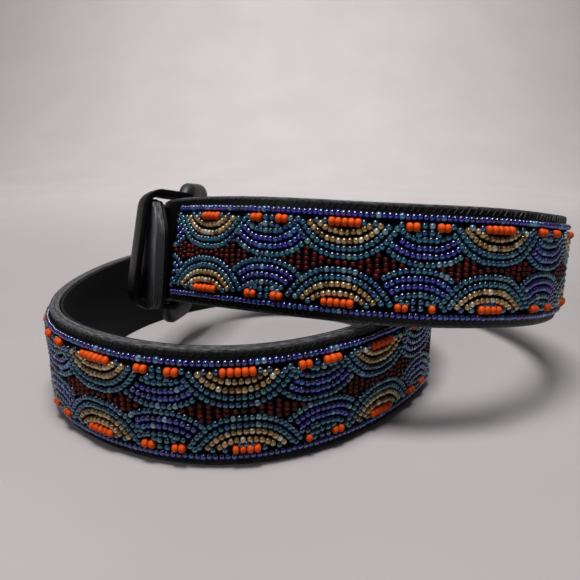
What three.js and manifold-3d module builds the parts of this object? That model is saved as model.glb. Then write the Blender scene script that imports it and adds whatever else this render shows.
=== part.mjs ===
// A beaded leather belt, fastened and stood on its edge in two turns, the upper turn offset to the right.
// Millimetres, +Z up. The belt is followed from the buckle bar, once round the upper turn, down to the floor,
// once round the lower turn and back up through the buckle to the tip.
import * as THREE from 'three';
import { NURBSCurve } from 'three/addons/curves/NURBSCurve.js';
import { mergeVertices } from 'three/addons/utils/BufferGeometryUtils.js';
import Module from 'manifold-3d';

const wasm = await Module();
wasm.setup();

// Strap
const strapWidth = 40;
const leatherThick = 3.4;      // the grain leather together with its core
const liningThick = 1.1;
const liningInset = 0.5;       // the lining stops short of both edges
const edgeBevel = 0.6;         // the burnished corners of the strap's edges
const loopSpan = 160;          // across the lower turn, the size that the route's places follow
const pieceGap = 0.3;          // clearance between pieces that touch on the real belt

// Bead panel
const panelMargin = 2.8;       // bare leather along each edge
const panelThick = 2.3;
const panelCrown = 0.7;        // how much lower the panel is at its long edges
const panelShoulder = 4.6;     // how far in from those edges it falls away
const plainLength = 245;       // bare strap from the end of the beads to the tip

// Buckle end, where the strap is pared and folded round the bar
const foldThick = 2;
const tabLength = 34;          // the folded end, lying inside the strap
const taperFrom = 2;           // the paring starts this far from the bar
const taperTo = 12;
const barDiameter = 4;
const barClearance = 0.35;

// Buckle frame and prong
const frameLength = 29;        // from the heel bar's middle to the end bar's middle
const frameOpening = 44;
const frameBarWidth = 10.5;
const frameBarThick = 7.2;
const frameCorner = 8;         // radius of the frame's middle line at its corners
const frameTilt = 7;           // degrees that the end bar stands outward, over the billet
const frameDip = 8;            // degrees that the end bar hangs lower than the heel bar
const frameDrop = 1.5;         // the frame hangs this much below the middle of the strap
const prongDiameter = 2.8;
const prongEyeWidth = 4;
const prongEyeWall = 1.4;
const prongClearance = 0.5;
const prongRise = 0.42;        // share of the frame's length at which the arm lies level over the billet
const prongCrest = 0.75;       // share at which it starts over the end bar

// Billet, the plain end of the strap with its holes
const tipReach = 32;           // from the heel bar to the tip
const tipDrop = 5;             // how much lower the tip hangs than the strap below it
const tipDropFrom = 16;        // from here on it hangs lower, counted from the heel bar
const tipLean = 5;             // degrees that the tip stands more upright than the strap
const tipCorner = 9;
const billetBow = 1.5;         // how far the billet bows outward between the prong and the keeper's mouth
const billetLead = 10;         // straight stretch before the end bar
const holeDiameter = 4.5;
const holePitch = 25;
const spareHoles = 4;

// Keeper loop
const keeperLength = 11;       // along the strap
const keeperWall = 2.4;
const keeperMouth = 22;        // from the heel bar to the keeper's open front
const keeperSlack = 3.2;       // room left outside the billet, at the keeper's top
const keeperSag = 0.4;         // how much more room there is at its foot
const keeperHeadroom = 2.2;    // room above the strap
const keeperFootroom = 2.2;    // room below the strap, for the dropped billet
const keeperCorner = 7;        // radius of the top corner that stands off the billet
const keeperFootCorner = 8;    // radius of the bottom corner that stands off the billet
const keeperInnerCorner = 3;   // radius of the corners that lie on the folded tab

// How finely the curves are stepped
const stationStep = 6;
const denseStep = 4;
const denseReach = 60;         // near the buckle steps are denser, and the strap turns parallel to its bar
const foldSteps = 6;
const roundSides = 12;
const prongSides = 8;
const prongSteps = 14;
const cornerSteps = 5;
const shortestStep = 1;        // no step between two stations is shorter
const measuresPerRow = 40;     // pieces of curve per row, by which distances are measured
const mergeWithin = 1e-4;      // corners closer than this are one corner
const cutOver = 1;             // a cutter reaches this far past what it cuts

// The belt's route as control rows of a smooth curve along the middle of the strap's lower edge.
// across and back are shares of loopSpan from the lower turn's middle, lift is a share of strapWidth,
// and lean is how far the top edge leans into the loop, in degrees.
const beltRoute = [
  { across: -0.261, back: -0.047, lift: 0.785, lean: 8.2 },
  { across: -0.275, back: -0.096, lift: 0.815, lean: 8.3 },
  { across: -0.241, back: -0.175, lift: 0.910, lean: 8.8 },
  { across: -0.126, back: -0.294, lift: 1.003, lean: 8.6 },
  { across: 0.041, back: -0.395, lift: 1.056, lean: 7.9 },
  { across: 0.228, back: -0.454, lift: 1.040, lean: 6.9 },
  { across: 0.395, back: -0.465, lift: 1.018, lean: 5.5 },
  { across: 0.529, back: -0.430, lift: 0.970, lean: 4.0 },
  { across: 0.636, back: -0.358, lift: 0.885, lean: 2.5 },
  { across: 0.725, back: -0.259, lift: 0.803, lean: 1.1 },
  { across: 0.785, back: -0.137, lift: 0.708, lean: 0.2 },
  { across: 0.788, back: 0.022, lift: 0.605, lean: 0 },
  { across: 0.720, back: 0.213, lift: 0.485, lean: 0 },
  { across: 0.578, back: 0.397, lift: 0.343, lean: 0 },
  { across: 0.374, back: 0.526, lift: 0.198, lean: 0 },
  { across: 0.136, back: 0.566, lift: 0.075, lean: 0 },
  { across: -0.098, back: 0.518, lift: 0, lean: 0 },
  { across: -0.296, back: 0.401, lift: 0, lean: 0 },
  { across: -0.431, back: 0.233, lift: 0, lean: 0 },
  { across: -0.489, back: 0.024, lift: 0, lean: 0 },
  { across: -0.498, back: -0.188, lift: 0, lean: 0 },
  { across: -0.440, back: -0.363, lift: 0, lean: 0 },
  { across: -0.307, back: -0.484, lift: 0, lean: 0 },
  { across: -0.142, back: -0.561, lift: 0, lean: 0 },
  { across: 0.034, back: -0.562, lift: 0, lean: 0 },
  { across: 0.201, back: -0.480, lift: 0, lean: 0 },
  { across: 0.344, back: -0.342, lift: 0, lean: 0 },
  { across: 0.454, back: -0.176, lift: 0, lean: 0 },
  { across: 0.495, back: -0.016, lift: 0.040, lean: 0 },
  { across: 0.418, back: 0.156, lift: 0.110, lean: 1 },
  { across: 0.269, back: 0.287, lift: 0.190, lean: 3 },
  { across: 0.094, back: 0.344, lift: 0.280, lean: 5 },
  { across: -0.054, back: 0.325, lift: 0.370, lean: 7 },
];

// Sizes that follow from the ones above
const strapThick = leatherThick + pieceGap + liningThick;
const outerFace = strapThick / 2;
const tabSeat = -(outerFace + pieceGap + foldThick / 2);
const foldRadius = barDiameter / 2 + barClearance + foldThick / 2;
const barOffset = outerFace - foldThick / 2 - foldRadius;
const billetOffset = strapThick + pieceGap;
const endBarOut = barOffset + frameLength * Math.sin(THREE.MathUtils.degToRad(frameTilt));
const endBarAft = frameLength * Math.cos(THREE.MathUtils.degToRad(frameTilt));
const billetInside = endBarOut - frameBarThick / 2 - barClearance - strapThick / 2;
const billetStart = -(endBarAft + billetLead);
const panelStart = tipReach + 1;
const liningStart = taperTo + denseStep;
const prongHoleAt = endBarAft / 4;   // where the prong's arm crosses the billet

const upright = new THREE.Vector3(0, 0, 1);

function routeRow(row) {
  return new THREE.Vector3(row.across * loopSpan, row.back * loopSpan, row.lift * strapWidth);
}

// The level direction along the belt, the one out of the loop and the one up the leaning strap.
function leaningAxes(tangent, leanDegrees) {
  const level = new THREE.Vector3(tangent.x, tangent.y, 0).normalize();
  const up = upright.clone().applyAxisAngle(level, -THREE.MathUtils.degToRad(leanDegrees));
  return { level, up, out: new THREE.Vector3().crossVectors(level, up) };
}

// The buckle's own frame: its bar stands parallel to up, and its end bar dips.
const firstFoot = routeRow(beltRoute[0]);
const firstAxes = leaningAxes(routeRow(beltRoute[1]).sub(firstFoot), beltRoute[0].lean);
const dip = THREE.MathUtils.degToRad(frameDip);
const buckleFrame = {
  foot: firstFoot,
  along: firstAxes.level.clone().applyAxisAngle(firstAxes.out, dip),
  up: firstAxes.up.clone().applyAxisAngle(firstAxes.out, dip),
  out: firstAxes.out,
  stretch: 1,
};

// A foot on the strap's middle line with the directions along the belt, out of the loop and up the strap.
// Near the buckle, by a share from 0 to 1, up turns parallel to its bar. Where the belt climbs, stretch is
// how much longer than the strap's width its section is.
function beltFrame(foot, tangent, leanDegrees, share) {
  const up = leaningAxes(tangent, leanDegrees).up.lerp(buckleFrame.up, share).normalize();
  const along = tangent.clone().normalize();
  const out = new THREE.Vector3().crossVectors(along, up);
  const stretch = 1 / out.length();
  return { foot, along, out: out.normalize(), up, stretch };
}

// A place near the buckle, by its distance forward along the strap and its offset out of the loop.
function besideBuckle(forward, out, rise = 0) {
  return buckleFrame.foot.clone()
    .addScaledVector(buckleFrame.along, forward)
    .addScaledVector(buckleFrame.out, out)
    .addScaledVector(buckleFrame.up, rise);
}

const routeFeet = beltRoute.map(routeRow);
routeFeet.push(besideBuckle(billetStart - billetLead, billetInside));
routeFeet.push(besideBuckle(billetStart, billetInside));
const routeLeans = beltRoute.map((row) => row.lean);
routeLeans.push(beltRoute[0].lean, beltRoute[0].lean);

// A smooth curve of third degree that starts and ends on its first and last rows.
function smoothCurve(rows) {
  const degree = 3;
  const inner = rows.length - degree;
  const knots = [];
  for (let i = 0; i < rows.length + degree + 1; i += 1) {
    knots.push(THREE.MathUtils.clamp(i - degree, 0, inner) / inner);
  }
  const curve = new NURBSCurve(degree, knots, rows.map((row) => new THREE.Vector4(row.x, row.y, row.z, 1)));
  curve.arcLengthDivisions = measuresPerRow * rows.length;
  return curve;
}

const route = smoothCurve(routeFeet);
const leanCurve = smoothCurve(routeLeans.map((lean) => new THREE.Vector3(lean, 0, 0)));
const routeLength = route.getLength();

// The strap's frame at a distance along it; behind the bar it runs straight back from the buckle.
function frameAt(distance) {
  if (distance < 0) return { ...buckleFrame, foot: besideBuckle(distance, 0) };
  const share = route.getUtoTmapping(0, Math.min(distance, routeLength));
  const away = Math.min(distance - keeperMouth, routeLength - distance);
  const besideBar = 1 - THREE.MathUtils.smoothstep(away, 0, denseReach);
  return beltFrame(route.getPoint(share), route.getTangent(share), leanCurve.getPoint(share).x, besideBar);
}

// Distances from start to end: both ends, and the steps that every layer of the belt shares.
function distances(start, end) {
  const list = [start];
  let next = Math.floor(start / denseStep) * denseStep;
  while (next < end) {
    if (next > start + shortestStep && next < end - shortestStep) list.push(next);
    next += next < denseReach ? denseStep : stationStep;
  }
  list.push(end);
  return list;
}

// The billet's middle line: inside the end bar, through the frame, then outside the strap, bowed outward a
// little, as far as the keeper's mouth, and straight on to the tip, which stands a little more upright.
function billetFrame(forward) {
  const beside = Math.min(forward, keeperMouth);
  const base = frameAt(beside);
  const turn = THREE.MathUtils.degToRad(tipLean) * THREE.MathUtils.smoothstep(forward, 0, tipReach);
  const rise = THREE.MathUtils.smoothstep(forward, -endBarAft + frameBarThick, -barDiameter / 2);
  const drop = tipDrop * THREE.MathUtils.smoothstep(forward, tipDropFrom, tipReach);
  const bowed = THREE.MathUtils.clamp(THREE.MathUtils.inverseLerp(-prongHoleAt, keeperMouth, forward), 0, 1);
  const bow = billetBow * Math.sin(Math.PI * bowed) ** 2;
  base.foot = base.foot.clone()
    .addScaledVector(base.along, forward - beside)
    .addScaledVector(base.out, THREE.MathUtils.lerp(billetInside, billetOffset, rise) + bow)
    .addScaledVector(base.up, -drop);
  base.up = base.up.clone().applyAxisAngle(base.along, turn);
  return base;
}

// The billet ends in rounded corners: how far its edges draw in at a distance from the tip.
function tipInset(forward) {
  const left = Math.max(0, tipCorner - (tipReach - forward));
  return tipCorner - Math.sqrt(tipCorner ** 2 - left ** 2);
}

// The middle line of the whole belt from start to the tip, a frame at each step.
function middleLine(start) {
  const frames = distances(start, routeLength)
    .map((distance) => ({ ...frameAt(distance), distance, tip: 0 }));
  const steps = distances(billetStart, tipReach).slice(1).filter((value) => value <= tipReach - tipCorner);
  for (const forward of [...steps, ...tipSteps()]) {
    frames.push({ ...billetFrame(forward), distance: routeLength + forward, tip: tipInset(forward) });
  }
  return withSides(frames);
}

// Turns each frame's outward direction square to the path of the frames' feet.
function withSides(frames) {
  return frames.map((frame, i) => {
    const before = frames[Math.max(i - 1, 0)].foot;
    const after = frames[Math.min(i + 1, frames.length - 1)].foot;
    const out = new THREE.Vector3().crossVectors(after.clone().sub(before), frame.up).normalize();
    return { ...frame, out };
  });
}

// One station of a layer that lies between two offsets from the middle line, drawn in from both edges.
function layerStation(frame, inner, outer, inset = 0) {
  const foot = frame.foot.clone().addScaledVector(frame.out, (inner + outer) / 2);
  const low = inset * frame.stretch;
  const high = (strapWidth - inset) * frame.stretch;
  return { foot, out: frame.out, up: frame.up, half: (outer - inner) / 2, low, high };
}

// Steps round the tip's corners, even in angle.
function tipSteps() {
  const list = [];
  for (let i = 1; i <= cornerSteps; i += 1) {
    const angle = (i / cornerSteps) * (Math.PI / 2);
    list.push(tipReach - tipCorner + tipCorner * Math.sin(angle));
  }
  return list;
}

// The pared end, from the end of the folded tab round the bar; its grain side faces away from the bar.
function foldStations() {
  const list = [];
  const barInner = barOffset - foldRadius;
  for (const distance of distances(0, tabLength).reverse().slice(0, -1)) {
    const frame = frameAt(distance);
    const middle = THREE.MathUtils.lerp(barInner, tabSeat, THREE.MathUtils.smoothstep(distance, 0, taperTo));
    frame.foot.addScaledVector(frame.out, middle);
    frame.out.negate();
    list.push(layerStation(frame, -foldThick / 2, foldThick / 2));
  }
  for (let i = 0; i < foldSteps; i += 1) {
    const angle = (i / foldSteps) * Math.PI;
    const foot = besideBuckle(-foldRadius * Math.sin(angle), barOffset - foldRadius * Math.cos(angle));
    const out = foot.clone().sub(besideBuckle(0, barOffset)).normalize();
    list.push(layerStation({ ...buckleFrame, foot, out }, -foldThick / 2, foldThick / 2));
  }
  return list;
}

// The leather thickens inward from the fold to its full thickness; its outer face runs on unbroken.
function strapStation(frame) {
  const share = THREE.MathUtils.smoothstep(frame.distance, taperFrom, taperTo);
  const thick = THREE.MathUtils.lerp(foldThick, leatherThick, share);
  return layerStation(frame, outerFace - thick, outerFace, frame.tip);
}

// A corner of a section, by its offset from the layer's middle and its height up the strap.
function corner(station, out, height) {
  return station.foot.clone().addScaledVector(station.out, out).addScaledVector(station.up, height);
}

function bevelledSection(bevel) {
  return (station) => {
    const { half, low, high } = station;
    return [
      corner(station, half - bevel, low), corner(station, half, low + bevel),
      corner(station, half, high - bevel), corner(station, half - bevel, high),
      corner(station, -half + bevel, high), corner(station, -half, high - bevel),
      corner(station, -half, low + bevel), corner(station, -half + bevel, low),
    ];
  };
}

function plainSection(station) {
  const { half, low, high } = station;
  return [
    corner(station, half, low), corner(station, half, high),
    corner(station, -half, high), corner(station, -half, low),
  ];
}

// The panel's face is level over most of its height and rounds off towards both borders.
function crownedSection(station) {
  const { half, low, high } = station;
  return [
    corner(station, half - panelCrown, low), corner(station, half, low + panelShoulder),
    corner(station, half, high - panelShoulder), corner(station, half - panelCrown, high),
    corner(station, -half, high), corner(station, -half, low),
  ];
}

// A closed body through rings of equal count, capped at both ends or joined round. Each four-sided facet is
// split from its low corner here to its high corner in the next ring, so facing layers bend alike; the
// first rings, as many as turned says, run back along the belt and are split the other way.
function loft(rings, { joined = false, turned = 0 } = {}) {
  const count = rings[0].length;
  const positions = rings.flat().flatMap((point) => point.toArray());
  const index = [];
  const spans = joined ? rings.length : rings.length - 1;
  for (let i = 0; i < spans; i += 1) {
    const here = i * count;
    const next = ((i + 1) % rings.length) * count;
    for (let j = 0; j < count; j += 1) {
      const k = (j + 1) % count;
      if ((rings[i][j].z < rings[i][k].z) !== (i < turned)) {
        index.push(here + j, next + j, next + k, here + j, next + k, here + k);
      } else {
        index.push(here + j, next + j, here + k, next + j, next + k, here + k);
      }
    }
  }
  if (!joined) {
    const last = (rings.length - 1) * count;
    for (let j = 1; j < count - 1; j += 1) {
      index.push(0, j, j + 1);
      index.push(last, last + j + 1, last + j);
    }
  }
  const geometry = new THREE.BufferGeometry();
  geometry.setAttribute('position', new THREE.Float32BufferAttribute(positions, 3));
  geometry.setIndex(index);
  return facingOut(geometry);
}

// Turns a closed body's faces round where they enclose a negative volume.
function facingOut(geometry) {
  const place = geometry.getAttribute('position');
  const order = geometry.getIndex().array;
  const [a, b, c] = [new THREE.Vector3(), new THREE.Vector3(), new THREE.Vector3()];
  let volume = 0;
  for (let i = 0; i < order.length; i += 3) {
    a.fromBufferAttribute(place, order[i]);
    b.fromBufferAttribute(place, order[i + 1]);
    c.fromBufferAttribute(place, order[i + 2]);
    volume += a.dot(b.cross(c));
  }
  if (volume < 0) geometry.setIndex(Array.from(order).reverse());
  return geometry;
}

// three.js geometry to a solid, and back.
function toSolid(geometry) {
  const bare = geometry.clone();
  bare.deleteAttribute('normal');
  bare.deleteAttribute('uv');
  const merged = mergeVertices(bare, mergeWithin);
  const vertProperties = new Float32Array(merged.getAttribute('position').array);
  const triVerts = new Uint32Array(merged.getIndex().array);
  return new wasm.Manifold(new wasm.Mesh({ numProp: 3, vertProperties, triVerts }));
}

function toGeometry(solid) {
  const mesh = solid.getMesh();
  const geometry = new THREE.BufferGeometry();
  geometry.setAttribute('position', new THREE.BufferAttribute(mesh.vertProperties, 3));
  geometry.setIndex(new THREE.BufferAttribute(mesh.triVerts, 1));
  return geometry;
}

// The frame of the buckle: x behind the bar, y out of the loop, z up, from the middle of the heel bar.
const barMiddle = besideBuckle(0, barOffset, strapWidth / 2);
const buckleAft = buckleFrame.along.clone().negate();
const buckleMatrix = new THREE.Matrix4()
  .makeBasis(buckleAft, buckleFrame.out, buckleFrame.up)
  .setPosition(barMiddle);

// The prong: an eye round the heel bar, then an arm out through the billet's hole and over the end bar.
function prongSolid(clearance) {
  const eyeOuter = barDiameter / 2 + barClearance + prongEyeWall;
  const armRadius = prongDiameter / 2 + clearance;
  const overEndBar = endBarOut - barOffset + frameBarThick / 2 + pieceGap + prongDiameter / 2;
  const overBillet = billetOffset - barOffset + strapThick / 2 + pieceGap + prongDiameter / 2;
  const eyeShape = new THREE.Shape().absarc(0, 0, eyeOuter + clearance, 0, 2 * Math.PI, false);
  if (clearance === 0) {
    eyeShape.holes.push(new THREE.Path().absarc(0, 0, barDiameter / 2 + barClearance, 0, 2 * Math.PI, true));
  }
  const eyeDepth = prongEyeWidth + 2 * clearance;
  const eye = new THREE.ExtrudeGeometry(eyeShape, {
    depth: eyeDepth, bevelEnabled: false, curveSegments: roundSides,
  });
  eye.translate(0, 0, -eyeDepth / 2);
  const armStart = barDiameter / 2 + barClearance + prongEyeWall / 2;
  const armPath = new THREE.CatmullRomCurve3([
    new THREE.Vector3(armStart, armStart / 2, 0),
    new THREE.Vector3(armStart + prongDiameter, overBillet / 2, 0),
    new THREE.Vector3(endBarAft * prongRise, overBillet, 0),
    new THREE.Vector3(endBarAft * prongCrest, (overBillet + overEndBar) / 2, 0),
    new THREE.Vector3(endBarAft + frameBarWidth / 2, overEndBar, 0),
  ]);
  const armShape = new THREE.Shape().absarc(0, 0, armRadius, 0, 2 * Math.PI, false);
  const arm = new THREE.ExtrudeGeometry(armShape, {
    steps: prongSteps, extrudePath: armPath, curveSegments: prongSides / 2,
  });
  return toSolid(eye).add(toSolid(arm));
}

// A round cutter through the billet at a distance before the heel bar, square to the strap.
function holeCutter(distance) {
  const onLead = distance < -billetStart;
  const frame = onLead ? billetFrame(-distance) : frameAt(routeLength - (distance + billetStart));
  const reach = 2 * strapThick;
  const cutter = new THREE.CylinderGeometry(holeDiameter / 2, holeDiameter / 2, reach, roundSides);
  const centre = frame.foot.clone().addScaledVector(frame.up, strapWidth / 2);
  cutter.applyMatrix4(new THREE.Matrix4()
    .makeBasis(frame.along, frame.out, new THREE.Vector3().crossVectors(frame.along, frame.out))
    .setPosition(centre));
  return toSolid(cutter);
}

function cutHoles(geometry) {
  let solid = toSolid(geometry).subtract(toSolidAt(prongSolid(prongClearance), buckleMatrix));
  for (let i = 1; i <= spareHoles; i += 1) {
    solid = solid.subtract(holeCutter(prongHoleAt + i * holePitch));
  }
  return toGeometry(solid);
}

function toSolidAt(solid, matrix) {
  return toSolid(toGeometry(solid).applyMatrix4(matrix));
}

// Strap: the folded end, the belt's whole length and the billet in one piece.
function strapGeometry() {
  const folded = foldStations();
  const stations = [...folded, ...middleLine(0).map(strapStation)];
  const turned = folded.length - foldSteps;
  return cutHoles(loft(stations.map(bevelledSection(edgeBevel)), { turned }));
}

function liningGeometry() {
  const stations = middleLine(liningStart).map((frame) => (
    layerStation(frame, -outerFace, -outerFace + liningThick, liningInset + frame.tip)));
  return cutHoles(loft(stations.map(plainSection)));
}

function panelGeometry() {
  const inner = outerFace + pieceGap;
  const end = routeLength - (plainLength - tipReach + billetStart);
  const frames = middleLine(panelStart).filter((frame) => frame.distance < end);
  frames.push({ ...frames[frames.length - 1], ...frameAt(end) });
  return loft(frames.map((frame) => layerStation(frame, inner, inner + panelThick, panelMargin))
    .map(crownedSection));
}

// Keeper: a leather loop round the folded tab, the strap and the billet, bent along with them.
function keeperGeometry() {
  const opening = {
    left: tabSeat - foldThick / 2 - pieceGap,
    right: billetOffset + strapThick / 2 + keeperSlack,
    sag: keeperSag,
    low: -keeperFootroom,
    high: strapWidth + keeperHeadroom,
  };
  const corners = { inner: keeperInnerCorner, top: keeperCorner, foot: keeperFootCorner };
  const outside = roundedShape(opening, keeperWall, corners);
  const inside = roundedShape(opening, 0, {
    inner: corners.inner - keeperWall, top: corners.top - keeperWall, foot: corners.foot - keeperWall,
  });
  const back = keeperMouth - keeperLength;
  const band = toSolid(bentPrism(outside, back, keeperMouth));
  return toGeometry(band.subtract(toSolid(bentPrism(inside, back - cutOver, keeperMouth + cutOver))));
}

// A body whose outline stands square to the strap and follows it from start to end.
function bentPrism(outline, start, end) {
  const points = outline.getPoints(cornerSteps);
  points.pop();
  const rings = distances(start, end).map((distance) => {
    const frame = frameAt(distance);
    return points.map((point) => (
      frame.foot.clone().addScaledVector(frame.out, point.x).addScaledVector(frame.up, point.y)));
  });
  return loft(rings);
}

// A rectangle grown by a margin on every side, with the inner radius at both corners of its left side and
// one radius each at the top and the foot of its right side, which may sag and stand further out at its foot.
function roundedShape(box, grow, corners) {
  const left = box.left - grow + corners.inner;
  const top = box.right + grow - corners.top;
  const foot = box.right + box.sag + grow - corners.foot;
  const low = box.low - grow;
  const high = box.high + grow;
  const quarter = Math.PI / 2;
  const shape = new THREE.Shape();
  shape.moveTo(left, low);
  shape.lineTo(foot, low);
  shape.absarc(foot, low + corners.foot, corners.foot, -quarter, 0, false);
  shape.lineTo(top + corners.top, high - corners.top);
  shape.absarc(top, high - corners.top, corners.top, 0, quarter, false);
  shape.lineTo(left, high);
  shape.absarc(left, high - corners.inner, corners.inner, quarter, 2 * quarter, false);
  shape.lineTo(left - corners.inner, low + corners.inner);
  shape.absarc(left, low + corners.inner, corners.inner, 2 * quarter, 3 * quarter, false);
  return shape;
}

// Buckle frame: a rounded oblong ring, thin along the heel bar that the strap folds round.
function buckleGeometry() {
  const half = frameOpening / 2 + frameBarWidth / 2;
  const oblong = { left: 0, right: frameLength, sag: 0, low: -half, high: half };
  const outline = roundedShape(oblong, 0, { inner: frameCorner, top: frameCorner, foot: frameCorner });
  const points = outline.getPoints(cornerSteps + 1);
  points.pop();
  const rings = points.map((point, i) => {
    const before = points[(i + points.length - 1) % points.length];
    const after = points[(i + 1) % points.length];
    const along = after.clone().sub(before).normalize();
    const side = new THREE.Vector3(along.y, 0, -along.x);
    const heel = THREE.MathUtils.smoothstep(frameCorner - point.x, 0, frameCorner);
    const width = THREE.MathUtils.lerp(frameBarWidth, barDiameter, heel);
    const thick = THREE.MathUtils.lerp(frameBarThick, barDiameter, heel);
    return roundRing(new THREE.Vector3(point.x, 0, point.y), side, width / 2, thick / 2);
  });
  const ring = loft(rings, { joined: true });
  ring.rotateZ(THREE.MathUtils.degToRad(frameTilt));
  ring.translate(0, 0, -frameDrop);
  return ring.applyMatrix4(buckleMatrix);
}

// A soft oval section round a point, its width along side and its thickness along y.
function roundRing(middle, side, width, thick) {
  const ring = [];
  for (let i = 0; i < roundSides; i += 1) {
    const angle = (i / roundSides) * 2 * Math.PI;
    ring.push(middle.clone()
      .addScaledVector(side, width * Math.cos(angle))
      .add(new THREE.Vector3(0, thick * Math.sin(angle), 0)));
  }
  return ring;
}

function prongGeometry() {
  return toGeometry(toSolidAt(prongSolid(0), buckleMatrix));
}

const finishes = {
  leather: { color: '#1b1b1d', roughness: 0.55, metalness: 0 },
  lining: { color: '#202022', roughness: 0.85, metalness: 0 },
  beads: { color: '#2f5f8f', roughness: 0.25, metalness: 0.1 },
  blackMetal: { color: '#2b2b2d', roughness: 0.5, metalness: 0.6 },
};

function piece(name, geometry, finish) {
  const mesh = new THREE.Mesh(geometry, new THREE.MeshStandardMaterial(finish));
  mesh.name = name;
  return mesh;
}

const belt = new THREE.Group();
belt.add(
  piece('strap', strapGeometry(), finishes.leather),
  piece('lining', liningGeometry(), finishes.lining),
  piece('bead_panel', panelGeometry(), finishes.beads),
  piece('keeper', keeperGeometry(), finishes.leather),
  piece('buckle_frame', buckleGeometry(), finishes.blackMetal),
  piece('buckle_prong', prongGeometry(), finishes.blackMetal),
);

// The origin is under the middle of the whole belt, on the surface that it stands on.
const bounds = new THREE.Box3().setFromObject(belt);
const centre = bounds.getCenter(new THREE.Vector3());
belt.position.set(-centre.x, -centre.y, -bounds.min.z);

export default belt;
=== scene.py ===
import math
import bpy
import numpy as np
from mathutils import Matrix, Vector

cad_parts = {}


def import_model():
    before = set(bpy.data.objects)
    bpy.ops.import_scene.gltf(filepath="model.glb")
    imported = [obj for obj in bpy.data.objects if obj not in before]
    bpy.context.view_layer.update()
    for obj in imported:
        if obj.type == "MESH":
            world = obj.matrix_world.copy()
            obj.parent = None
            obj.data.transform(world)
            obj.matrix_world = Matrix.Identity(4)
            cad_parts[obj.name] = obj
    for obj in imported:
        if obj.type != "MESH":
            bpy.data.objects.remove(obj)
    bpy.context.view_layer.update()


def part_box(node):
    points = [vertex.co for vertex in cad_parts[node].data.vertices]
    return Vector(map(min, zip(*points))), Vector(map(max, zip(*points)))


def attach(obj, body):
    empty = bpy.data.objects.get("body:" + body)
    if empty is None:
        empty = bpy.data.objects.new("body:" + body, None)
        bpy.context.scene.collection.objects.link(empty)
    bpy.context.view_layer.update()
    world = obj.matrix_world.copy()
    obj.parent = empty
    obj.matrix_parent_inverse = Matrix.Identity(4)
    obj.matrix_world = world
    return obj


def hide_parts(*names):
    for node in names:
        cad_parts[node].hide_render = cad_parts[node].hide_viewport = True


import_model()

# Flat pieces are drawn in millimetres and laid along the belt's route in metres.
MM = 0.001
UPRIGHT = np.array([0.0, 0.0, 1.0])

# Sizes of the belt in millimetres
STRAP_WIDTH = 40
LEATHER_THICK = 3.4
LINING_THICK = 1.1
PIECE_GAP = 0.3
LINING_INSET = 0.5
LOOP_SPAN = 160
PLAIN_LENGTH = 245
PANEL_MARGIN = 2.8
PANEL_THICK = 2.3
PANEL_CROWN = 0.7
PANEL_SHOULDER = 4.6
FOLD_THICK = 2
TAB_LENGTH = 34
TAPER_FROM = 2
TAPER_TO = 12
BAR_DIAMETER = 4
BAR_CLEARANCE = 0.35
FRAME_LENGTH = 29
FRAME_OPENING = 44
FRAME_BAR_WIDTH = 10.5
FRAME_BAR_THICK = 7.2
FRAME_CORNER = 8
FRAME_TILT = math.radians(7)
FRAME_DIP = math.radians(8)
FRAME_DROP = 1.5
PRONG_DIAMETER = 2.8
TIP_REACH = 32
TIP_DROP = 5
TIP_DROP_FROM = 16
BILLET_BOW = 1.5
TIP_LEAN = math.radians(5)
TIP_CORNER = 9
BILLET_LEAD = 10
HOLE_DIAMETER = 4.5
HOLE_PITCH = 25
SPARE_HOLES = 4
KEEPER_LENGTH = 11
KEEPER_WALL = 2.4
KEEPER_MOUTH = 22
KEEPER_SLACK = 3.2
KEEPER_SAG = 0.4
KEEPER_HEADROOM = 2.2
KEEPER_FOOTROOM = 2.2
KEEPER_TOP_CORNER = 7
KEEPER_FOOT_CORNER = 8
KEEPER_INNER_CORNER = 3
TURN_REACH = 60       # near the buckle the strap turns parallel to its bar over this length

# Sizes that follow from the ones above
STRAP_THICK = LEATHER_THICK + PIECE_GAP + LINING_THICK
OUTER_FACE = STRAP_THICK / 2
TAB_SEAT = -(OUTER_FACE + PIECE_GAP + FOLD_THICK / 2)
FOLD_RADIUS = BAR_DIAMETER / 2 + BAR_CLEARANCE + FOLD_THICK / 2
BAR_OFFSET = OUTER_FACE - FOLD_THICK / 2 - FOLD_RADIUS
BILLET_OFFSET = STRAP_THICK + PIECE_GAP
END_BAR_OUT = BAR_OFFSET + FRAME_LENGTH * math.sin(FRAME_TILT)
END_BAR_AFT = FRAME_LENGTH * math.cos(FRAME_TILT)
BILLET_INSIDE = END_BAR_OUT - FRAME_BAR_THICK / 2 - BAR_CLEARANCE - STRAP_THICK / 2
BILLET_START = -(END_BAR_AFT + BILLET_LEAD)
PRONG_HOLE_AT = END_BAR_AFT / 4
PANEL_START = TIP_REACH + 1
LINING_START = 16

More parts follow.
